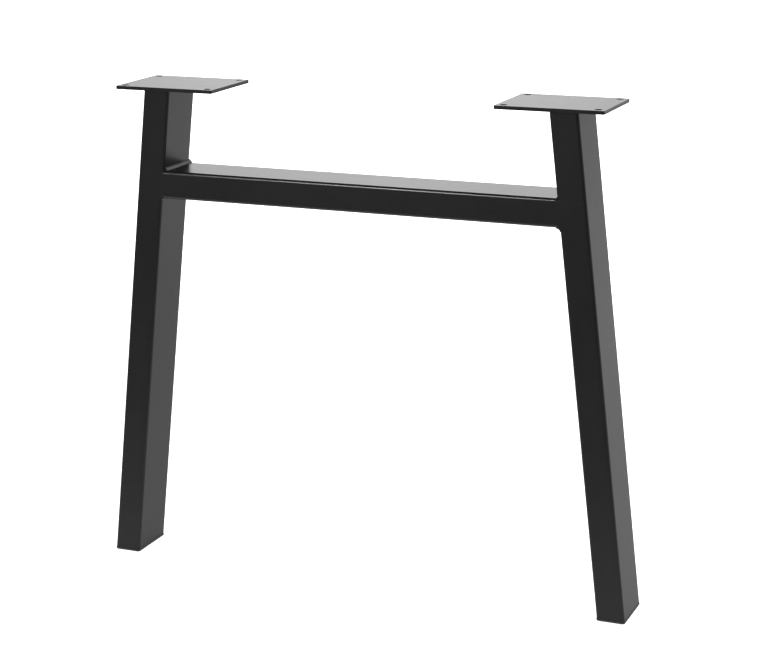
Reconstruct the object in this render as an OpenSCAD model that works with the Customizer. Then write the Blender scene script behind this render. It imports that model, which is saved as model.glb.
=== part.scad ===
// Trestle table leg: two splayed box tube legs with a crossbar, a drilled plate on each and a cap in each foot.
// X runs from leg to leg, Y from the front (-) to the back (+), Z up.
// The origin is on the floor, midway between the legs, under the centre line of the two plates.

/* [Overall] */
// Height from the floor to the top of the plates
frame_h = 710; // [600:1:760]
// Distance between the leg centre lines on the floor
foot_spacing = 760; // [560:1:900]
// Distance between the leg centre lines under the plates
head_spacing = 602; // [420:1:760]

/* [Tubes] */
// Width of the leg tubes, seen from the front
tube_w = 40; // [30:1:60]
// Depth of all the tubes, from front to back
tube_d = 80; // [50:1:110]
// Wall thickness of all the tubes
tube_wall = 2; // [1.5:0.1:4]
// Outside corner radius of all the tubes
tube_r = 4; // [3:0.1:6]

/* [Crossbar] */
// Height of the crossbar tube
bar_h = 40; // [30:1:60]
// Distance from the top of the plates down to the top of the crossbar
bar_drop = 121; // [40:1:500]

/* [Top plates] */
// Width of a plate, along the frame
plate_w = 152; // [100:1:200]
// Depth of a plate, from front to back
plate_d = 120; // [90:1:160]
// Thickness of a plate
plate_t = 5; // [3:0.5:8]
// Corner radius of a plate
plate_r = 2; // [0.5:0.5:8]
// How far a plate is set towards the middle of the frame from the top of its leg
plate_shift_in = 17; // [0:1:40]
// How far the legs stand in front of the centre line of the plates
leg_shift_front = 9; // [0:1:20]

/* [Screw holes] */
// Diameter of the screw holes
hole_d = 10; // [5:0.5:12]
// Distance between the screw holes along the frame
hole_pitch_x = 130; // [60:1:180]
// Distance between the screw holes from front to back
hole_pitch_y = 100; // [50:1:145]

/* [Welds] */
// Height of the crossbar's fillet welds up each of the faces they join
weld_leg = 5; // [3:0.5:7]
// Height of the plates' fillet welds up each of the faces they join
plate_weld_leg = 2; // [1:0.5:6]
// Distance from one weld ripple to the next
ripple_pitch = 3.2; // [2.5:0.1:6]
// Height of a weld ripple above the dip beside it
ripple_h = 0.4; // [0.1:0.1:0.8]

/* [Foot caps] */
// Thickness of the cap's sole, between the tube and the floor
cap_t = 3; // [2:0.5:6]
// How far the sole stands out past the tube all round
cap_over = 0.6; // [0:0.1:2]
// Radius of the sole's lower edge
cap_edge_r = 1.2; // [0.5:0.1:1.8]
// Height of the plug that holds the cap in the tube
plug_h = 17; // [10:1:40]
// Wall thickness of the plug
plug_wall = 2; // [1:0.1:3]
// Clearance between the plug's fins and the inside of the tube
plug_fit = 0.3; // [0.2:0.05:1]
// How far the fins stand out from the plug's wall
fin_reach = 2.2; // [1:0.1:4]
// Thickness of a fin
fin_t = 1.2; // [0.8:0.1:2]
// Number of rows of fins
fin_rows = 3; // [1:1:4]

/* [Hidden] */
$fn = 48;
LEFT = -1;
RIGHT = 1;
coat_colour = "#2b2c2e";
weld_colour = "#35373a";
cap_colour = "#151617";
// Height of the underside of the plates, where the legs end
head_z = frame_h - plate_t;
// Angle of the legs from the vertical
splay = atan((foot_spacing - head_spacing) / 2 / head_z);
// Half of a leg's width, measured level
leg_half = tube_w / 2 / cos(splay);
// Depth position of the legs and the crossbar
leg_y = -leg_shift_front;
bar_top = frame_h - bar_drop;
bar_bottom = bar_top - bar_h;
bar_mid = bar_top - bar_h / 2;
// A length that reaches past the whole frame
reach = frame_h + foot_spacing;
// How far a solid that only cuts or overlaps runs past what it cuts
past = 1;
bore_w = tube_w - 2 * tube_wall;
bore_d = tube_d - 2 * tube_wall;
bore_r = tube_r - tube_wall > 0.5 ? tube_r - tube_wall : 0.5;
// What keeps faces apart that would otherwise only just touch
hair = 0.1;
// Corner radius of a weld's root on a leg: a hair sharper than the tube's, so that no weld thins to a bare line
root_r = tube_r - hair;
// Width of a cap's sole, to the nearest tenth as a moulding is made
sole_w = round(20 * (leg_half + cap_over)) / 10;

// Distance from the middle of the frame to a leg's centre line, at height z
function leg_x(z) = foot_spacing / 2 - z * tan(splay);

// Distance from the middle of the frame to a leg's inner face, at height z
function inner_x(z) = leg_x(z) - leg_half;

// A rectangle about the origin whose corners are true arcs
module rounded_rect(w, d, r) {
    square([w, d - 2 * r], center = true);
    square([w - 2 * r, d], center = true);
    for (sx = [-1, 1], sy = [-1, 1]) {
        translate([sx * (w / 2 - r), sy * (d / 2 - r)]) circle(r);
    }
}

// The wall of a box tube, cut across
module tube_section(w, d) {
    difference() {
        rounded_rect(w, d, tube_r);
        rounded_rect(w - 2 * tube_wall, d - 2 * tube_wall, bore_r);
    }
}

// Puts its child on a leg: Z then runs up the leg's centre line from the floor
module on_leg(side) {
    translate([side * foot_spacing / 2, leg_y, 0]) rotate([0, -side * splay, 0]) children();
}

// Turns a section so that its depth lies along Y, its height along Z, and its length along X, about the origin
module along_x(length) {
    rotate([90, 0, 90]) linear_extrude(length, center = true) children();
}

// Stands a profile drawn in X and Z up, with its thickness along Y, about the origin
module along_y(length) {
    rotate([90, 0, 0]) linear_extrude(length, center = true) children();
}

// Everything between two heights
module slab(z0, z1) {
    translate([-reach / 2, -reach / 2, z0]) cube([reach, reach, z1 - z0]);
}

// The outside of a leg as a solid to cut a weld with, d deep
module leg_solid(side, d) {
    on_leg(side) translate([0, 0, -tube_w]) linear_extrude(frame_h + 2 * tube_w) rounded_rect(tube_w, d, root_r);
}

// The outside of the crossbar as a solid to cut a weld with, d deep, up to the planes of the legs' inner faces
module bar_solid(d) {
    intersection() {
        translate([0, leg_y, bar_mid]) along_x(foot_spacing) rounded_rect(d, bar_h, tube_r);
        between_legs();
    }
}

// The space between the planes of the legs' inner faces
module between_legs() {
    intersection_for(side = [LEFT, RIGHT]) {
        on_leg(side) mirror([side == LEFT ? 1 : 0, 0, 0])
            translate([-2 * reach - tube_w / 2, -reach, -reach]) cube([2 * reach, 2 * reach, 3 * reach]);
    }
}

// A block with a rounded section that grows by the same amount all round as it rises from z = 0 to z = h
module flared_block(w, d, r, h) {
    for (sx = [-1, 1], sy = [-1, 1]) {
        translate([sx * (w / 2 - r), sy * (d / 2 - r), 0]) cylinder(h = h, r1 = r, r2 = r + h);
    }
    along_y(d - 2 * r) polygon([[-w / 2, 0], [w / 2, 0], [w / 2 + h, h], [-w / 2 - h, h]]);
    rotate([0, 0, 90]) along_y(w - 2 * r) polygon([[-d / 2, 0], [d / 2, 0], [d / 2 + h, h], [-d / 2 - h, h]]);
}

// Low ridges across a fillet that runs along Y and faces up and towards -X, with its flat at the origin
module ripples(length) {
    // Each ridge is the crest of a round bar that lies in the fillet, and the dips stay clear of the flat
    dip_h = 0.1;
    ridge_r = (pow(ripple_pitch / 2, 2) + pow(ripple_h, 2)) / (2 * ripple_h);
    count = floor(length / ripple_pitch);
    for (i = [0 : count - 1]) {
        translate([0, (i - (count - 1) / 2) * ripple_pitch, 0]) rotate([0, 45, 0])
            translate([ridge_r - ripple_h - dip_h, 0, 0]) cylinder(h = 3 * weld_leg, r = ridge_r, center = true);
    }
}

// A leg tube, cut level at the foot and under the plate
module leg_tube(side) {
    color(coat_colour) intersection() {
        on_leg(side) translate([0, 0, -tube_w]) linear_extrude(frame_h + 2 * tube_w) tube_section(tube_w, tube_d);
        slab(cap_t, head_z);
    }
}

// The crossbar, its ends cut to the slope of the legs and its front flush with theirs
module crossbar_tube() {
    color(coat_colour) intersection() {
        translate([0, leg_y, bar_mid]) along_x(foot_spacing) tube_section(tube_d, bar_h);
        between_legs();
    }
}

// A flat plate with four holes for the screws that go up into the table top
module top_plate(side) {
    color(coat_colour) translate([side * (leg_x(head_z) - plate_shift_in), 0, head_z]) difference() {
        linear_extrude(plate_t) rounded_rect(plate_w, plate_d, plate_r);
        for (sx = [-1, 1], sy = [-1, 1]) {
            translate([sx * hole_pitch_x / 2, sy * hole_pitch_y / 2, -past])
                cylinder(h = plate_t + 2 * past, d = hole_d);
        }
    }
}

// The weld round one end of the crossbar, ground flush with the front and the back of the leg
module bar_weld(side) {
    // The tubes stand a hair proud of the ground faces, which then cut across the grooves at their corners
    root_d = tube_d + 2 * hair;
    color(weld_colour) mirror([side == LEFT ? 1 : 0, 0, 0]) difference() {
        intersection() {
            union() {
                bar_fillet(1);
                bar_fillet(-1);
            }
            weld_bounds();
        }
        leg_solid(RIGHT, root_d);
        bar_solid(root_d);
    }
}

// The flush front and back of the right crossbar weld, and its end in the grooves beside the leg's corners
module weld_bounds() {
    // The share of the corner radius that the weld fills
    filled = 0.8;
    on_leg(RIGHT) translate([-reach - tube_w / 2, -tube_d / 2, 0]) cube([reach + filled * tube_r, tube_d, reach]);
}

// The upper (1) or lower (-1) half of a crossbar weld, still running on into the bar and into the leg
module bar_fillet(up) {
    toe_x = inner_x(bar_mid + up * bar_h / 2) - weld_leg;
    // The flare starts under the bar's surface, a little rounder at the corners, and ends beyond the leg's corners
    flare_h = past + weld_leg + 2 * tube_r;
    // Depth of the fillet's flat, between its corners
    flat_d = tube_d - 2 * past - 2 * tube_r;
    translate([toe_x, leg_y, bar_mid]) mirror([0, 0, up > 0 ? 0 : 1]) {
        intersection() {
            translate([-past, 0, 0]) rotate([90, 0, 90])
                flared_block(tube_d - 2 * past, bar_h - 2 * past, tube_r, flare_h);
            translate([-past, -tube_d, 0]) cube([flare_h, 2 * tube_d, bar_h + flare_h]);
        }
        translate([weld_leg / 2, 0, (bar_h + weld_leg) / 2]) ripples(flat_d - ripple_pitch);
    }
}

// The narrow fillet weld round the top of a leg, under its plate
module plate_weld(side) {
    depth = plate_weld_leg + past;
    color(weld_colour) difference() {
        translate([side * leg_x(head_z - plate_weld_leg / 2), leg_y, head_z - depth])
            flared_block(2 * leg_half - 2 * past, tube_d - 2 * past, tube_r, depth);
        leg_solid(side, tube_d);
    }
}

// The outer strip of a slab of thickness t, cut across: r wide, with its lower outer edge rounded
module rim_profile(r, t, edge_r) {
    square([r - edge_r, t]);
    translate([0, edge_r]) square([r, t - edge_r]);
    translate([r - edge_r, edge_r]) circle(edge_r);
}

// A flat sole whose lower edge is rounded all round
module sole(w, d, r, t, edge_r) {
    inner_w = w - 2 * r;
    inner_d = d - 2 * r;
    // The middle runs on into the rim
    lap = (r - edge_r) / 2;
    translate([-inner_w / 2 - lap, -inner_d / 2, 0]) cube([inner_w + 2 * lap, inner_d, t]);
    translate([-inner_w / 2, -inner_d / 2 - lap, 0]) cube([inner_w, inner_d + 2 * lap, t]);
    for (turn = [0, 180]) rotate([0, 0, turn]) {
        translate([inner_w / 2, 0, 0]) along_y(inner_d) rim_profile(r, t, edge_r);
        rotate([0, 0, 90]) translate([inner_d / 2, 0, 0]) along_y(inner_w) rim_profile(r, t, edge_r);
        translate([inner_w / 2, inner_d / 2, 0]) rotate_extrude(angle = 90) rim_profile(r, t, edge_r);
        translate([-inner_w / 2, inner_d / 2, 0]) rotate([0, 0, 90])
            rotate_extrude(angle = 90) rim_profile(r, t, edge_r);
    }
}

// The moulded plug, run on downwards to be cut level: an open box with a web across it, and rows of gripping fins
module plug() {
    low = -bore_w / 2;
    grip_w = bore_w - 2 * plug_fit;
    grip_d = bore_d - 2 * plug_fit;
    box_w = grip_w - 2 * fin_reach;
    box_d = grip_d - 2 * fin_reach;
    row_pitch = (plug_h - 2 * fin_t) / fin_rows;
    translate([0, 0, low]) linear_extrude(plug_h - low) {
        difference() {
            rounded_rect(box_w, box_d, plug_wall);
            square([box_w - 2 * plug_wall, box_d - 2 * plug_wall], center = true);
        }
        square([box_w - plug_wall, plug_wall], center = true);
    }
    for (i = [1 : fin_rows]) {
        translate([0, 0, i * row_pitch]) linear_extrude(fin_t) difference() {
            rounded_rect(grip_w, grip_d, bore_r);
            square([box_w - plug_wall, box_d - plug_wall], center = true);
        }
    }
}

// A cap: a level sole under the tube's cut end, and a plug that leans with the leg
module foot_cap(side) {
    color(cap_colour) {
        translate([side * leg_x(cap_t), leg_y, 0])
            sole(sole_w, tube_d + 2 * cap_over, tube_r + cap_over, cap_t, cap_edge_r);
        intersection() {
            on_leg(side) translate([0, 0, cap_t]) plug();
            slab(cap_t, frame_h);
        }
    }
}

module left_leg_tube() { leg_tube(LEFT); }
module right_leg_tube() { leg_tube(RIGHT); }
module left_top_plate() { top_plate(LEFT); }
module right_top_plate() { top_plate(RIGHT); }
module left_bar_weld() { bar_weld(LEFT); }
module right_bar_weld() { bar_weld(RIGHT); }
module left_plate_weld() { plate_weld(LEFT); }
module right_plate_weld() { plate_weld(RIGHT); }
module left_foot_cap() { foot_cap(LEFT); }
module right_foot_cap() { foot_cap(RIGHT); }

left_leg_tube();
right_leg_tube();
crossbar_tube();
left_top_plate();
right_top_plate();
left_bar_weld();
right_bar_weld();
left_plate_weld();
right_plate_weld();
left_foot_cap();
right_foot_cap();
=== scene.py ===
import math

import bpy
from mathutils import Matrix, Vector


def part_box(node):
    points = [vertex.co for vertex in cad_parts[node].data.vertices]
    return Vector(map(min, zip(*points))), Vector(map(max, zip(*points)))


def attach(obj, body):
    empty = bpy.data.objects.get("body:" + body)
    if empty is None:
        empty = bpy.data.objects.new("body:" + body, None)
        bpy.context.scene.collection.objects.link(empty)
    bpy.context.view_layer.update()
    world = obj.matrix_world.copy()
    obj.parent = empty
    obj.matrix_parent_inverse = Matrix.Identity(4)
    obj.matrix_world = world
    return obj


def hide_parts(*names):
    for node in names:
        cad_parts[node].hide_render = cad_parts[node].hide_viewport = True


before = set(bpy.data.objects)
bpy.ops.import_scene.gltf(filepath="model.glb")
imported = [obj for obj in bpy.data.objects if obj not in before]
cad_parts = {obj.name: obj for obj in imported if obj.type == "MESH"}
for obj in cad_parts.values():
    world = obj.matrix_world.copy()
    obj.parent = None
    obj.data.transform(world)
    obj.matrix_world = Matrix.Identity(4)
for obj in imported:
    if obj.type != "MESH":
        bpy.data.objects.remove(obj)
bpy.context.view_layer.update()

bl_info = {
    "name": "Trestle Table Leg Looks",
    "version": (1, 0, 0),
    "blender": (4, 5, 0),
    "location": "3D View > Sidebar > Trestle Leg",
    "description": "Models the plates and welds of a steel trestle leg, and sets its finishes and studio",
    "category": "Object",
}

SIDES = {"left": -1, "right": 1}
CROSSBAR = "crossbar_tube"
# Corner radius of the tubes in metres, and the number of flats that a rounded corner is made of
TUBE_CORNER = 0.004
CORNER_SEGMENTS = 8
# An edge runs along an axis if it does so for this share of its length
NEARLY_ALL = 0.9


def node_box(node):
    low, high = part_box(node)
    return Vector(low), Vector(high)


# Sizes and colours that a user would change


class CoatSettings(bpy.types.PropertyGroup):
    colour: bpy.props.FloatVectorProperty(
        name="Coat colour", description="Colour of the powder coat",
        subtype="COLOR", size=3, min=0, max=1, default=(0.0065, 0.0066, 0.0068))
    roughness: bpy.props.FloatProperty(
        name="Coat roughness", description="How much the coat blurs what it reflects",
        default=0.30, min=0.05, max=1, subtype="FACTOR")
    ior: bpy.props.FloatProperty(
        name="Coat reflection", description="Index of refraction of the coat",
        default=1.50, min=1.2, max=1.8)
    gloss_share: bpy.props.FloatProperty(
        name="Share of gloss",
        description="Share of the coat's fine texture that mirrors, the rest being matt",
        default=0.42, min=0, max=1, subtype="FACTOR")
    corner_share: bpy.props.FloatProperty(
        name="Share of gloss on corners",
        description="Share that mirrors on the crossbar's smoother long corners",
        default=0.9, min=0, max=1, subtype="FACTOR")
    corner_polish: bpy.props.FloatProperty(
        name="Polish on corners",
        description="How much less rough the coat is on the crossbar's long corners",
        default=0.05, min=0, max=0.2, subtype="FACTOR")
    peel_pitch: bpy.props.FloatProperty(
        name="Orange peel pitch",
        description="Distance from one dimple of the coat's orange peel to the next",
        default=0.0022, min=0.0002, unit="LENGTH")
    peel_height: bpy.props.FloatProperty(
        name="Orange peel height", description="Height of the orange peel",
        default=0.000012, min=0, unit="LENGTH")
    grain_pitch: bpy.props.FloatProperty(
        name="Grain pitch", description="Size of the powder's grain",
        default=0.00035, min=0.00005, unit="LENGTH")
    grain_height: bpy.props.FloatProperty(
        name="Grain height", description="Height of the powder's grain",
        default=0.000003, min=0, unit="LENGTH")


class CapSettings(bpy.types.PropertyGroup):
    colour: bpy.props.FloatVectorProperty(
        name="Cap colour", description="Colour of the foot caps' plastic",
        subtype="COLOR", size=3, min=0, max=1, default=(0.010, 0.010, 0.0105))
    roughness: bpy.props.FloatProperty(
        name="Cap roughness", description="Roughness of the foot caps' plastic",
        default=0.5, min=0.05, max=1, subtype="FACTOR")
    grain_pitch: bpy.props.FloatProperty(
        name="Cap grain pitch", description="Size of the moulded surface's grain",
        default=0.0005, min=0.00005, unit="LENGTH")
    grain_height: bpy.props.FloatProperty(
        name="Cap grain height", description="Height of the moulded surface's grain",
        default=0.00001, min=0, unit="LENGTH")


class PlateSettings(bpy.types.PropertyGroup):
    edge: bpy.props.FloatProperty(
        name="Eased edge", description="Rounding of the edges of the plates and their holes",
        default=0.00005, min=0.00001, max=0.001, unit="LENGTH")
    corner_radius: bpy.props.FloatProperty(
        name="Corner radius", description="Radius of the plates' upright corners",
        default=0.002, min=0.0005, unit="LENGTH")
    hole_diameter: bpy.props.FloatProperty(
        name="Hole diameter", description="Diameter of the screw holes",
        default=0.010, min=0.002, unit="LENGTH")
    hole_pitch_x: bpy.props.FloatProperty(
        name="Hole pitch along", description="Distance between the holes along the frame",
        default=0.130, min=0.02, unit="LENGTH")
    hole_pitch_y: bpy.props.FloatProperty(
        name="Hole pitch across", description="Distance between the holes from front to back",
        default=0.100, min=0.02, unit="LENGTH")


class WeldSettings(bpy.types.PropertyGroup):
    bead_left: bpy.props.FloatProperty(
        name="Left bead",
        description="How far the left weld's upper bead reaches along the bar and up the leg",
        default=0.0046, min=0.001, max=0.005, unit="LENGTH")
    bead_right: bpy.props.FloatProperty(
        name="Right bead",
        description="How far the right weld's upper bead reaches along the bar and up the leg",
        default=0.0020, min=0.001, max=0.005, unit="LENGTH")
    cove_left: bpy.props.FloatProperty(
        name="Left cove", description="Radius of the hollow fillet under the bar's left end",
        default=0.0020, min=0.0005, max=0.005, unit="LENGTH")
    cove_right: bpy.props.FloatProperty(
        name="Right cove", description="Radius of the hollow fillet under the bar's right end",
        default=0.0049, min=0.0005, max=0.005, unit="LENGTH")
    crown: bpy.props.FloatProperty(
        name="Crown",
        description="Height of a bead's crown above the line between its toes, as a share of its reach",
        default=0.08, min=0.05, max=0.5, subtype="FACTOR")
    setback: bpy.props.FloatProperty(
        name="Setback", description="Distance from the front of the tubes to the front end of a bead",
        default=0.0035, min=0, max=0.01, unit="LENGTH")
    start_left: bpy.props.FloatProperty(
        name="Left start", description="Radius of the blob that the left bead starts with",
        default=0.0024, min=0.0005, max=0.004, unit="LENGTH")
    start_right: bpy.props.FloatProperty(
        name="Right start", description="Radius of the blob that the right bead starts with",
        default=0.0008, min=0.0005, max=0.004, unit="LENGTH")
    wrap_left: bpy.props.FloatProperty(
        name="Left wrap", description="How far the left weld covers the bar's front corner",
        default=0.0004, min=0.0001, max=0.006, unit="LENGTH")
    wrap_right: bpy.props.FloatProperty(
        name="Right wrap", description="How far the right weld covers the bar's front corner",
        default=0.004, min=0.0001, max=0.006, unit="LENGTH")
    ripples: bpy.props.IntProperty(
        name="Ripples", description="Number of ripples along a bead, from front to back",
        default=24, min=5)
    ripple_height: bpy.props.FloatProperty(
        name="Ripple height", description="Height of a ripple above the dip beside it",
        default=0.0003, min=0, unit="LENGTH")
    end_radius: bpy.props.FloatProperty(
        name="End rounding", description="Rounding of a bead's ends",
        default=0.0003, min=0.0001, unit="LENGTH")


class StageSettings(bpy.types.PropertyGroup):
    floor_colour: bpy.props.FloatVectorProperty(
        name="Floor colour", description="Colour of the pale floor",
        subtype="COLOR", size=3, min=0, max=1, default=(0.86, 0.86, 0.86))
    floor_glow: bpy.props.FloatProperty(
        name="Floor glow", description="Light that the floor gives of itself, as a lit table does",
        default=1.05, min=0)
    floor_front: bpy.props.FloatProperty(
        name="Front of the floor", description="Share of the glow that is left well in front of the leg",
        default=0.05, min=0, max=1, subtype="FACTOR")
    floor_back: bpy.props.FloatProperty(
        name="Back of the floor", description="What is added to the glow well behind the leg, as a share",
        default=0.6, min=0)
    floor_right: bpy.props.FloatProperty(
        name="Right of the floor", description="What is added to the glow well to the right, as a share",
        default=0.22, min=0)
    back_light: bpy.props.FloatProperty(
        name="Back light", description="Brightness of the low soft light behind the leg",
        default=4.6, min=0)
    corner_light: bpy.props.FloatProperty(
        name="Corner light", description="Brightness of the soft light behind on the right",
        default=6.0, min=0)
    room_light: bpy.props.FloatProperty(
        name="Room light", description="Brightness of the rest of the room",
        default=0.2, min=0)
    side_light: bpy.props.FloatProperty(
        name="Side lights", description="Power of each of the two soft side lights",
        default=15, min=0, unit="POWER")
    front_light: bpy.props.FloatProperty(
        name="Front light", description="Power of the soft light in front",
        default=7, min=0, unit="POWER")
    front_spread: bpy.props.FloatProperty(
        name="Front light's spread",
        description="How wide the grid of the soft light in front lets its light fan out",
        default=math.radians(36), min=0.1, max=math.pi, subtype="ANGLE")
    lens: bpy.props.FloatProperty(
        name="Lens", description="Focal length of the camera on a sensor 36 mm wide",
        default=94.66, min=10)
    azimuth: bpy.props.FloatProperty(
        name="Camera azimuth", description="How far the camera stands round to the right of the front",
        default=math.radians(22.698), subtype="ANGLE")
    elevation: bpy.props.FloatProperty(
        name="Camera elevation", description="How far the camera looks down",
        default=math.radians(14.944), subtype="ANGLE")
    roll: bpy.props.FloatProperty(
        name="Camera roll", description="Turn of the camera about its line of sight",
        default=math.radians(-0.481), subtype="ANGLE")
    distance: bpy.props.FloatProperty(
        name="Camera distance", description="Distance from the camera to the point that it looks at",
        default=2.8428, min=0.5, unit="LENGTH")
    target: bpy.props.FloatVectorProperty(
        name="Camera target", description="Point that the camera looks at",
        size=3, subtype="TRANSLATION", default=(0.02573, -0.009, 0.36943))


# Shader maths


class Signal:
    """A socket whose operators add Math nodes, or with no socket a node tree, to add its first node to."""

    def __init__(self, tree, socket=None):
        self.tree = tree
        self.socket = socket

    def node(self, kind, settings=None, values=None, out=0):
        """Adds a node: its settings first, then a value or a link for each of the sockets named."""
        made = self.tree.nodes.new(kind)
        for name, value in (settings or {}).items():
            setattr(made, name, value)
        for name, value in (values or {}).items():
            if isinstance(value, Signal):
                self.tree.links.new(value.socket, made.inputs[name])
            else:
                made.inputs[name].default_value = value
        return Signal(self.tree, made.outputs[out])

    def math(self, operation, *others):
        return self.node("ShaderNodeMath", {"operation": operation}, dict(enumerate((self,) + others)))

    def __add__(self, other):
        return self.math("ADD", other)

    __radd__ = __add__

    def __mul__(self, other):
        return self.math("MULTIPLY", other)

    __rmul__ = __mul__

    def __sub__(self, other):
        return self.math("SUBTRACT", other)

    def __rsub__(self, other):
        return (self * -1.0) + other

    def __abs__(self):
        return self.math("ABSOLUTE")

    def ramp(self, low, high):
        """0 below low and 1 above high, with a smooth step between."""
        return self.node(
            "ShaderNodeMapRange", {"interpolation_type": "SMOOTHSTEP"},
            {"Value": self, "From Min": low, "From Max": high, "To Min": 0.0, "To Max": 1.0})

    def noise(self, pitch, detail=2.0, roughness=0.5):
        """Noise whose grains are about pitch metres apart, read at this point."""
        return self.node(
            "ShaderNodeTexNoise", None,
            {"Vector": self, "Scale": 1.0 / pitch, "Detail": detail, "Roughness": roughness})

    def bump(self):
        """The normal of a surface that stands out by this many metres."""
        return self.node("ShaderNodeBump", None, {"Strength": 1.0, "Distance": 1.0, "Height": self})

    def mix(self, first, second):
        """The first colour where this is 0, the second where it is 1."""
        factor, colour_a, colour_b, colour_out = 0, 6, 7, 2
        return self.node(
            "ShaderNodeMix", {"data_type": "RGBA"},
            {factor: self, colour_a: (*first, 1.0), colour_b: (*second, 1.0)}, colour_out)

    def axes(self):
        """The X, Y and Z parts of a vector."""
        split = self.node("ShaderNodeSeparateXYZ", None, {"Vector": self}).socket.node
        return [Signal(self.tree, part) for part in split.outputs]

    def plug(self, shader, name):
        self.tree.links.new(self.socket, shader.inputs[name])


def scaled(colour, factor):
    return tuple(min(1.0, channel * factor) for channel in colour)


def new_material(name):
    """An empty material, its Principled shader, and a point in Object coordinates."""
    material = bpy.data.materials.new(name)
    material.use_nodes = True
    point = Signal(material.node_tree).node("ShaderNodeTexCoord", out="Object")
    return material, material.node_tree.nodes["Principled BSDF"], point


# Metres between the coat's broad patches and between its small ones, and the broad ones' share in its shade
BROAD_PITCH = 0.09
SMALL_PITCH = 0.012
BROAD_SHARE = 0.6
# The noise at which the shade is darkest and the noise at which it is lightest, and how far it strays
SHADE_RANGE = (0.3, 0.7)
SHADE_SPREAD = 0.15
# How far the roughness strays over the patches and over the grain
PATCH_ROUGHNESS = 0.03
GRAIN_ROUGHNESS = 0.02
# Metres between the flow marks in the foot caps' plastic, how far their shade and their roughness stray
FLOW_PITCH = 1 / 60
FLOW_SHADES = (0.8, 1.25)
FLOW_ROUGHNESS = 0.04


def powder_coat(name, settings, unevenness=1.0, corner=None):
    """Satin black powder coat: fine grain on a shallow orange peel, with slightly uneven gloss.

    Part of it mirrors and the rest is matt, because its fine texture shades itself. corner gives a number
    from a point, 1 on the corners over which the coat flows smooth and 0 elsewhere.
    """
    material, shader, point = new_material(name)
    broad = point.noise(BROAD_PITCH)
    small = point.noise(SMALL_PITCH, 3.0)
    peel = point.noise(settings.peel_pitch, 1.0, 0.4)
    grain = point.noise(settings.grain_pitch)
    shade = (broad * BROAD_SHARE + small * (1 - BROAD_SHARE)).ramp(*SHADE_RANGE)
    darker = scaled(settings.colour, 1 - SHADE_SPREAD)
    lighter = scaled(settings.colour, 1 + SHADE_SPREAD)
    colour = shade.mix(darker, lighter)
    rough = (broad + small) * (PATCH_ROUGHNESS * unevenness) + (settings.roughness - PATCH_ROUGHNESS)
    mirroring = settings.gloss_share
    if corner:
        smooth = corner(point)
        rough = rough - smooth * settings.corner_polish
        mirroring = mirroring + smooth * (settings.corner_share - settings.gloss_share)
    height = (peel - 0.5) * (settings.peel_height * unevenness) + (grain - 0.5) * settings.grain_height
    normal = height.bump()
    rough = rough + grain * GRAIN_ROUGHNESS
    colour.plug(shader, "Base Color")
    rough.plug(shader, "Roughness")
    normal.plug(shader, "Normal")
    shader.inputs["IOR"].default_value = settings.ior
    matt = point.node("ShaderNodeBsdfDiffuse", None, {"Color": colour, "Normal": normal})
    gloss = Signal(point.tree, shader.outputs["BSDF"])
    both = point.node("ShaderNodeMixShader", None, {0: mirroring, 1: matt, 2: gloss})
    both.plug(point.tree.nodes["Material Output"], "Surface")
    return material


def cap_plastic(settings):
    """Black moulded plastic with a fine matt grain and faint flow marks."""
    material, shader, point = new_material("cap_plastic_moulded")
    flow = point.noise(FLOW_PITCH, 3.0, 0.6)
    grain = point.noise(settings.grain_pitch)
    darker, lighter = (scaled(settings.colour, factor) for factor in FLOW_SHADES)
    rough = flow * (2 * FLOW_ROUGHNESS) + (settings.roughness - FLOW_ROUGHNESS)
    flow.mix(darker, lighter).plug(shader, "Base Color")
    rough.plug(shader, "Roughness")
    ((grain - 0.5) * settings.grain_height).bump().plug(shader, "Normal")
    return material


# Modelling helpers


def start_clean():
    """Leaves edit mode, with nothing selected."""
    if bpy.context.mode != "OBJECT":
        bpy.ops.object.mode_set(mode="OBJECT")
    bpy.ops.object.select_all(action="DESELECT")


def only(piece):
    start_clean()
    piece.select_set(True)
    bpy.context.view_layer.objects.active = piece


def edit(piece, action="SELECT"):
    """Enters edit mode on a piece, with all or none of it selected."""
    only(piece)
    bpy.ops.object.mode_set(mode="EDIT")
    bpy.ops.mesh.select_all(action=action)


def settle(piece, name):
    """Moves a piece's place, turn and scale into its mesh, and names it."""
    only(piece)
    bpy.ops.object.transform_apply(location=True, rotation=True, scale=True)
    piece.name = name
    piece.data.name = name
    return piece


def add(primitive, name, **sizes):
    """Adds a primitive and settles it."""
    start_clean()
    primitive(**sizes)
    return settle(bpy.context.active_object, name)


def block(low, high, name):
    return add(bpy.ops.mesh.primitive_cube_add, name, size=1, location=(low + high) / 2, scale=high - low)


def copied(piece, name, shift):
    """A copy with a mesh of its own, moved by the shift."""
    only(piece)
    bpy.ops.object.duplicate(linked=False)
    bpy.ops.transform.translate(value=shift)
    return settle(bpy.context.active_object, name)


def apply_modifier(piece, kind, **settings):
    only(piece)
    modifier = piece.modifiers.new(kind, kind)
    for name, value in settings.items():
        setattr(modifier, name, value)
    bpy.ops.object.modifier_apply(modifier=modifier.name)


def repeat(piece, count, offset, **merging):
    """Makes the piece a row of count copies, each an offset further."""
    apply_modifier(
        piece, "ARRAY", count=count, use_relative_offset=False, use_constant_offset=True,
        constant_offset_displace=offset, **merging)


def combine(piece, tool, operation):
    """Adds the tool to the piece or cuts it away, and uses the tool up."""
    apply_modifier(piece, "BOOLEAN", operation=operation, solver="EXACT", object=tool)
    bpy.data.objects.remove(tool)


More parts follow.
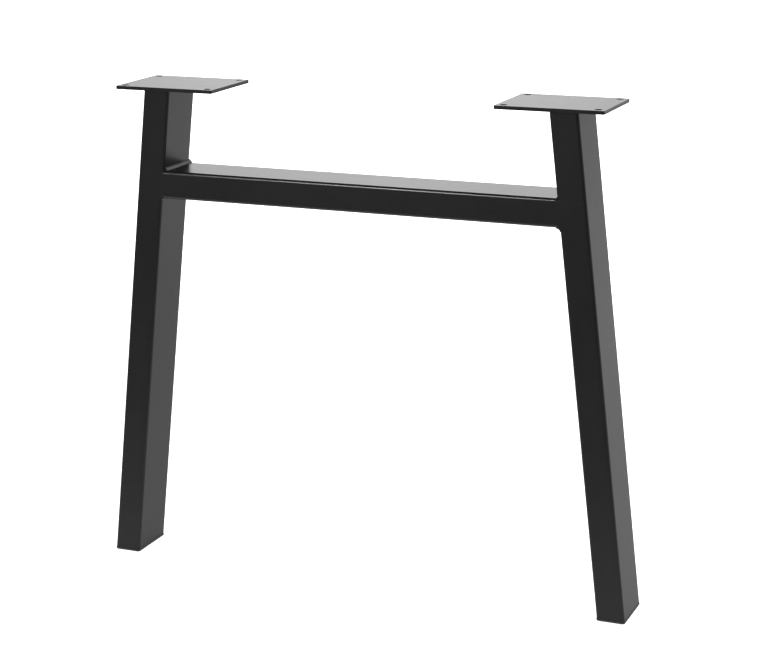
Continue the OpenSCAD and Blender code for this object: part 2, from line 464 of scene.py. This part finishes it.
def round_edges_along(axis, piece, radius):
    """Rounds the edges that run along an axis, 0 for X to 2 for Z, or nearly so."""
    edit(piece, "DESELECT")
    bpy.ops.mesh.select_mode(type="EDGE")
    bpy.ops.object.mode_set(mode="OBJECT")
    for edge in piece.data.edges:
        start, end = (piece.data.vertices[i].co for i in edge.vertices)
        edge.select = abs(end[axis] - start[axis]) > NEARLY_ALL * (end - start).length
    bpy.ops.object.mode_set(mode="EDIT")
    bpy.ops.mesh.bevel(offset=radius, offset_type="OFFSET", segments=CORNER_SEGMENTS, affect="EDGES")
    bpy.ops.object.mode_set(mode="OBJECT")
    return piece


def ease(piece, width, least_angle, segments):
    """Rounds all edges that turn by more than an angle in degrees."""
    apply_modifier(
        piece, "BEVEL", limit_method="ANGLE", angle_limit=math.radians(least_angle), width=width,
        segments=segments)


def smooth_flats(piece, up_to):
    """Shades curves smooth, where they turn by up to so many degrees a step, and keeps flats flat."""
    only(piece)
    bpy.ops.object.shade_smooth_by_angle(angle=math.radians(up_to))
    apply_modifier(piece, "WEIGHTED_NORMAL", keep_sharp=True)


def give(piece, material):
    piece.data.materials.clear()
    piece.data.materials.append(material)


def coat_node(node, material):
    give(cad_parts[node], material)


def stand_for(piece, node, material):
    """Finishes a new piece of coated steel, which is shown in the place of a CAD node."""
    give(piece, material)
    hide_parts(node)
    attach(piece, "root")


# One operator for each piece or group of like pieces


class TRESTLE_OT_tubes(bpy.types.Operator):
    """Coats the two legs and the crossbar"""

    bl_idname = "trestle.tubes"
    bl_label = "Tubes"
    # Half the width in metres over which the smoother coat on the crossbar's corners sets in
    fade = 0.0006

    def execute(self, context):
        settings = context.scene.trestle_coat
        coat = powder_coat("satin_black_coat", settings)
        for side in SIDES:
            coat_node(side + "_leg_tube", coat)
        coat_node(CROSSBAR, powder_coat("satin_black_bar_coat", settings, corner=self.long_corner))
        return {"FINISHED"}

    def long_corner(self, point):
        """1 on the crossbar's long corners, 0 on its flats."""
        low, high = node_box(CROSSBAR)
        middle = (low + high) / 2
        half = (high - low) / 2
        _, y, z = point.axes()
        return self.past_flat(y - middle.y, half.y) * self.past_flat(z - middle.z, half.z)

    def past_flat(self, offset, half):
        edge = half - TUBE_CORNER
        return abs(offset).ramp(edge - self.fade, edge + self.fade)


class TRESTLE_OT_plates(bpy.types.Operator):
    """Models the two drilled plates, with the soft edges that a coat gives them"""

    bl_idname = "trestle.plates"
    bl_label = "Top plates"

    def execute(self, context):
        low, high = node_box("left_top_plate")
        left = self.plate(low, high, context.scene.trestle_plates)
        right = copied(left, "right_plate", node_box("right_top_plate")[0] - low)
        for side, plate in (("left", left), ("right", right)):
            stand_for(plate, side + "_top_plate", bpy.data.materials["satin_black_coat"])
        return {"FINISHED"}

    def plate(self, low, high, sizes):
        plate = round_edges_along(2, block(low, high, "left_plate"), sizes.corner_radius)
        combine(plate, self.drills(low, high, sizes), "DIFFERENCE")
        ease(plate, sizes.edge, least_angle=50, segments=3)
        smooth_flats(plate, up_to=35)
        return plate

    def drills(self, low, high, sizes):
        """Four round bars, each where a hole goes."""
        along = Vector((sizes.hole_pitch_x, 0, 0))
        across = Vector((0, sizes.hole_pitch_y, 0))
        drills = add(
            bpy.ops.mesh.primitive_cylinder_add, "drills", vertices=64, radius=sizes.hole_diameter / 2,
            depth=3 * (high.z - low.z), location=(low + high - along - across) / 2)
        repeat(drills, 2, along)
        repeat(drills, 2, across)
        return drills


class Joint:
    """Where one end of the crossbar meets the sloping inner face of a leg."""

    def __init__(self, side):
        self.way = SIDES[side]
        leg_low, leg_high = node_box("right_leg_tube")
        self.low, self.high = node_box(CROSSBAR)
        self.slope = (self.high.x - leg_low.x) / (leg_high.z - self.low.z)
        self.splay = math.atan(self.slope)
        level_width = (leg_high.x - leg_low.x) - self.slope * (leg_high.z - leg_low.z)
        self.tube_width = level_width * math.cos(self.splay)
        self.depth = self.high.y - self.low.y
        self.mid_y = (self.high.y + self.low.y) / 2
        self.leg_top = leg_high.z

    def corner(self, z):
        """The point on the leg's inner face at height z, halfway from front to back."""
        return Vector((self.way * (self.high.x - self.slope * (z - self.low.z)), self.mid_y, z))

    def inward(self):
        """Along the bar, towards the middle of the frame."""
        return Vector((-self.way, 0, 0))

    def upward(self):
        """Up the leg."""
        return Vector((-self.way * math.sin(self.splay), 0, math.cos(self.splay)))

    def outward(self):
        """Into the leg, square to its inner face."""
        return Vector((self.way * math.cos(self.splay), 0, math.sin(self.splay)))

    def turn(self):
        """The turn that leans an upright block as the leg leans."""
        return (0, -self.way * self.splay, 0)


class TRESTLE_OT_welds(bpy.types.Operator):
    """Models the beads and hollow fillets round the ends of the crossbar, ground flush at front and back"""

    bl_idname = "trestle.welds"
    bl_label = "Weld beads"
    # How far in metres a shape runs on past the cut that ends it
    past = 0.001
    # Distance in metres that keeps apart two faces that would otherwise fall on each other
    hair = 0.00002
    # How many times as uneven the coat is over a weld
    unevenness = 1.6
    # Flats round a bead and round the hollow of a cove, and steps along a ripple
    bead_flats = 72
    cove_flats = 96
    ripple_steps = 8

    def execute(self, context):
        coat = powder_coat("coat_over_weld", context.scene.trestle_coat, self.unevenness)
        for side in SIDES:
            weld = self.weld(side, context.scene.trestle_welds)
            stand_for(weld, side + "_bar_weld", coat)
            coat_node(side + "_plate_weld", coat)
        return {"FINISHED"}

    def weld(self, side, sizes):
        """A bead, a cove and what joins them round the end of the bar, less the leg and the bar."""
        joint = Joint(side)
        weld = self.bead(joint, getattr(sizes, "bead_" + side), sizes)
        wrap = getattr(sizes, "wrap_" + side)
        over_corner = joint.corner(joint.high.z) - Vector((0, 0, wrap))
        for part in (
            self.cove(joint, getattr(sizes, "cove_" + side)),
            self.groove_filler(joint),
            self.diamond(over_corner, wrap, joint.depth - self.hair),
            self.start(joint, getattr(sizes, "start_" + side), sizes),
        ):
            combine(weld, part, "UNION")
        for form in (self.leg_form(joint), self.bar_form(joint)):
            combine(weld, form, "DIFFERENCE")
        smooth_flats(settle(weld, side + "_weld"), up_to=40)
        return weld

    def bead(self, joint, reach, sizes):
        """A round bar whose crown shows in the corner over the bar, with a ring for each ripple."""
        root = joint.corner(joint.high.z)
        toes = root + joint.inward() * reach, root + joint.upward() * reach
        chord = (toes[1] - toes[0]).length
        crown = reach * sizes.crown
        radius = (chord * chord / 4 + crown * crown) / (2 * crown)
        out = (joint.inward() + joint.upward()).normalized()
        centre = (toes[0] + toes[1]) / 2 - out * (radius - crown)
        centre.y = joint.low.y + sizes.setback
        pitch = (joint.depth - sizes.setback - self.hair) / sizes.ripples
        step = pitch / self.ripple_steps
        ring = radius - sizes.ripple_height
        bead = add(
            bpy.ops.mesh.primitive_circle_add, "bead", vertices=self.bead_flats, radius=ring,
            fill_type="NOTHING", location=centre, rotation=(math.pi / 2, 0, 0))
        edit(bead)
        for i in range(1, self.ripple_steps + 1):
            wider = radius - sizes.ripple_height * (1 - math.sin(math.pi * i / self.ripple_steps))
            bpy.ops.mesh.extrude_region_move(TRANSFORM_OT_translate={"value": (0, step, 0)})
            bpy.ops.transform.resize(value=(wider / ring, 1, wider / ring), center_override=tuple(centre))
            ring = wider
        repeat(bead, sizes.ripples, (0, pitch, 0), use_merge_vertices=True, merge_threshold=step / 10)
        edit(bead)
        bpy.ops.mesh.fill_holes(sides=0)
        bpy.ops.mesh.select_all(action="SELECT")
        bpy.ops.mesh.normals_make_consistent(inside=False)
        ease(bead, sizes.end_radius, least_angle=60, segments=4)
        return bead

    def cove(self, joint, radius):
        """A hollow fillet under the bar, which also fills what the bar's lower corners leave open."""
        root = joint.corner(joint.low.z)
        deep = joint.depth / 2 - 2 * self.hair
        low = root - Vector((0, deep, radius))
        high = root + Vector((0, deep, self.past))
        low.x, high.x = sorted((root.x - joint.way * radius, root.x + joint.way * 2 * radius))
        fillet = block(low, high, "cove")
        reach = TUBE_CORNER + self.past
        filled = root + joint.inward() * (radius - reach - self.hair)
        combine(fillet, self.diamond(filled, reach, joint.depth - 2 * self.hair), "UNION")
        hollow = add(
            bpy.ops.mesh.primitive_cylinder_add, "hollow", vertices=self.cove_flats, radius=radius,
            depth=2 * joint.depth, rotation=(math.pi / 2, 0, 0),
            location=root + joint.inward() * radius - joint.upward() * radius * (1 + joint.slope))
        combine(fillet, hollow, "DIFFERENCE")
        return fillet

    def diamond(self, middle, reach, depth):
        """A square bar from front to back, on edge, whose corners lie a reach from its middle."""
        side = reach * math.sqrt(2)
        return add(
            bpy.ops.mesh.primitive_cube_add, "diamond", size=1, location=middle,
            rotation=(0, math.pi / 4, 0), scale=(side, depth, side))

    def groove_filler(self, joint):
        """The bar's outline carried on into the leg, to fill the grooves beside the leg's rounded corners."""
        near = joint.corner(joint.high.z).x - joint.way * self.past
        far = joint.corner(joint.low.z).x + joint.way * (TUBE_CORNER + self.past)
        low = Vector((min(near, far), joint.low.y, joint.low.z))
        high = Vector((max(near, far), joint.high.y, joint.high.z))
        return round_edges_along(0, block(low, high, "filler"), TUBE_CORNER)

    def start(self, joint, radius, sizes):
        """The blob that a bead starts with, in the corner just behind the front."""
        place = joint.corner(joint.high.z)
        place.y = joint.low.y + sizes.setback
        return add(
            bpy.ops.mesh.primitive_uv_sphere_add, "start", segments=32, ring_count=16, radius=radius,
            location=place)

    def leg_form(self, joint):
        """The outside of the leg, a hair deeper than it is, run on past both of its ends."""
        middle = joint.corner(joint.leg_top / 2) + joint.outward() * joint.tube_width / 2
        size = (joint.tube_width, joint.depth + 2 * self.hair, 2 * joint.leg_top)
        leg = add(
            bpy.ops.mesh.primitive_cube_add, "leg form", size=1, location=middle, rotation=joint.turn(),
            scale=size)
        return round_edges_along(2, leg, TUBE_CORNER)

    def bar_form(self, joint):
        """The outside of the bar up to a hair past the leg's inner face, and a hair deeper than it is."""
        grown = Vector((joint.depth / 2, self.hair, self.hair))
        bar = round_edges_along(0, block(joint.low - grown, joint.high + grown, "bar form"), TUBE_CORNER)
        cut = joint.corner(joint.low.z) + joint.outward() * self.hair
        edit(bar)
        bpy.ops.mesh.bisect(plane_co=cut, plane_no=joint.outward(), use_fill=True, clear_outer=True)
        start_clean()
        return bar


class TRESTLE_OT_caps(bpy.types.Operator):
    """Finishes the moulded foot caps"""

    bl_idname = "trestle.caps"
    bl_label = "Foot caps"

    def execute(self, context):
        plastic = cap_plastic(context.scene.trestle_caps)
        for side in SIDES:
            coat_node(side + "_foot_cap", plastic)
        return {"FINISHED"}


class TRESTLE_OT_stage(bpy.types.Operator):
    """Sets the floor, the lights, the room and the camera"""

    bl_idname = "trestle.stage"
    bl_label = "Studio"
    # Width of the floor in metres, and the pitch and strength of its faint mottle
    floor_width = 80
    mottle_pitch = 0.4
    mottle_share = 0.02
    # Metres from the frame's middle between which the floor's glow rises: up to the leg, to the right of it,
    # and well behind it, where the rise dies away towards the right
    glow_front = (-0.9, 0.1)
    glow_right = (0.2, 1.4)
    glow_back = (1.1, 2.0)
    glow_back_right = (0.4, 1.2)
    # The low light behind, in parts of a unit vector: it fades in ahead, and out to the sides and upwards
    back_ahead = (0.4, 0.8)
    back_aside = (0.03, 0.42)
    back_top = (0.35, 0.6)
    # The light behind on the right: it fades in ahead, to the right and upwards, and out higher up
    corner_ahead = (0.3, 0.6)
    corner_aside = (0.3, 0.5)
    corner_foot = (0.15, 0.3)
    corner_top = (0.5, 0.7)
    # Places and sizes of the lamps, and the point that they face
    side_places = {"side_light_right": (2.6, 0.3, 2.2), "side_light_left": (-2.6, 0.3, 2.2)}
    side_size = (1.8, 1.8)
    front_place = (-1.9, -4.8, 2.0)
    front_size = (0.6, 1.7)
    lit_point = (0, 0, 0.55)

    def execute(self, context):
        settings = context.scene.trestle_stage
        context.scene.view_settings.view_transform = "Standard"
        self.floor(settings)
        self.room(context.scene, settings)
        for name, place in self.side_places.items():
            self.lamp(name, settings.side_light, place, self.side_size, math.pi)
        self.lamp(
            "front_light", settings.front_light, self.front_place, self.front_size, settings.front_spread)
        self.camera(context.scene, settings)
        return {"FINISHED"}

    def floor(self, settings):
        floor = add(bpy.ops.mesh.primitive_plane_add, "floor", size=self.floor_width, location=(0, 0, 0))
        edit(floor)
        bpy.ops.mesh.subdivide(number_cuts=7)
        start_clean()
        material, shader, point = new_material("pale_floor")
        darker = scaled(settings.floor_colour, 1 - self.mottle_share)
        colour = point.noise(self.mottle_pitch, 3.0).mix(darker, settings.floor_colour)
        colour.plug(shader, "Base Color")
        shader.inputs["Roughness"].default_value = 0.9
        across, away, _ = point.axes()
        lit = settings.floor_front + away.ramp(*self.glow_front) * (1 - settings.floor_front)
        lit = lit * (1 + across.ramp(*self.glow_right) * settings.floor_right)
        behind = away.ramp(*self.glow_back) * (1 - across.ramp(*self.glow_back_right))
        lit = lit * (1 + behind * settings.floor_back)
        lit.plug(shader, "Emission Color")
        shader.inputs["Emission Strength"].default_value = settings.floor_glow
        give(floor, material)

    def room(self, scene, settings):
        """Dim surroundings with two soft lights behind the leg, which its top faces and its beads mirror."""
        world = bpy.data.worlds.new("studio_room")
        scene.world = world
        world.use_nodes = True
        background = world.node_tree.nodes["Background"]
        background.inputs["Color"].default_value = (1, 1, 1, 1)
        x, y, up = Signal(world.node_tree).node("ShaderNodeTexCoord", out="Generated").axes()
        sine = math.sin(settings.azimuth)
        cosine = math.cos(settings.azimuth)
        ahead = y * cosine - x * sine
        aside = x * cosine + y * sine
        back = ahead.ramp(*self.back_ahead) * (1 - abs(aside).ramp(*self.back_aside))
        back = back * (1 - up.ramp(*self.back_top))
        corner = aside.ramp(*self.corner_aside) * ahead.ramp(*self.corner_ahead)
        corner = corner * up.ramp(*self.corner_foot) * (1 - up.ramp(*self.corner_top))
        strength = settings.room_light + back * (settings.back_light - settings.room_light)
        strength = strength + corner * settings.corner_light
        strength.plug(background, "Strength")

    def lamp(self, name, power, place, size, spread):
        start_clean()
        aim = Vector(self.lit_point) - Vector(place)
        turn = aim.to_track_quat("-Z", "Y").to_euler()
        bpy.ops.object.light_add(type="AREA", location=place, rotation=turn)
        lamp = bpy.context.active_object
        lamp.name = name
        lamp.data.shape = "RECTANGLE"
        lamp.data.size, lamp.data.size_y = size
        lamp.data.spread = spread
        lamp.data.energy = power

    def camera(self, scene, settings):
        azimuth, elevation, roll = settings.azimuth, settings.elevation, settings.roll
        level_part = math.cos(elevation)
        back = Vector((math.sin(azimuth) * level_part, -math.cos(azimuth) * level_part, math.sin(elevation)))
        level = (-back).cross(Vector((0, 0, 1))).normalized()
        upright = level.cross(-back)
        right = level * math.cos(roll) + upright * math.sin(roll)
        up = upright * math.cos(roll) - level * math.sin(roll)
        turn = Matrix((right, up, back)).transposed()
        start_clean()
        bpy.ops.object.camera_add(
            location=Vector(settings.target) + back * settings.distance, rotation=turn.to_euler())
        camera = bpy.context.active_object
        camera.name = "camera"
        camera.data.sensor_width = 36
        camera.data.lens = settings.lens
        camera.data.clip_end = 200
        scene.camera = camera


class TRESTLE_PT_panel(bpy.types.Panel):
    """Lists the pieces and their settings"""

    bl_idname = "TRESTLE_PT_panel"
    bl_label = "Trestle Leg"
    bl_space_type = "VIEW_3D"
    bl_region_type = "UI"
    bl_category = "Trestle Leg"

    def draw(self, context):
        layout = self.layout
        for operator, group in STEPS:
            box = layout.box()
            box.operator(operator.bl_idname)
            settings = getattr(context.scene, group)
            for name in settings.__annotations__:
                box.prop(settings, name)


STEPS = (
    (TRESTLE_OT_tubes, "trestle_coat"),
    (TRESTLE_OT_plates, "trestle_plates"),
    (TRESTLE_OT_welds, "trestle_welds"),
    (TRESTLE_OT_caps, "trestle_caps"),
    (TRESTLE_OT_stage, "trestle_stage"),
)
GROUPS = {
    "trestle_coat": CoatSettings,
    "trestle_caps": CapSettings,
    "trestle_plates": PlateSettings,
    "trestle_welds": WeldSettings,
    "trestle_stage": StageSettings,
}
CLASSES = tuple(GROUPS.values()) + tuple(step[0] for step in STEPS) + (TRESTLE_PT_panel,)


def register():
    for cls in CLASSES:
        bpy.utils.register_class(cls)
    for name, group in GROUPS.items():
        setattr(bpy.types.Scene, name, bpy.props.PointerProperty(type=group))


def unregister():
    for name in GROUPS:
        delattr(bpy.types.Scene, name)
    for cls in reversed(CLASSES):
        bpy.utils.unregister_class(cls)


def main():
    register()
    bpy.ops.trestle.tubes()
    bpy.ops.trestle.plates()
    bpy.ops.trestle.welds()
    bpy.ops.trestle.caps()
    bpy.ops.trestle.stage()


if __name__ == "__main__":
    main()
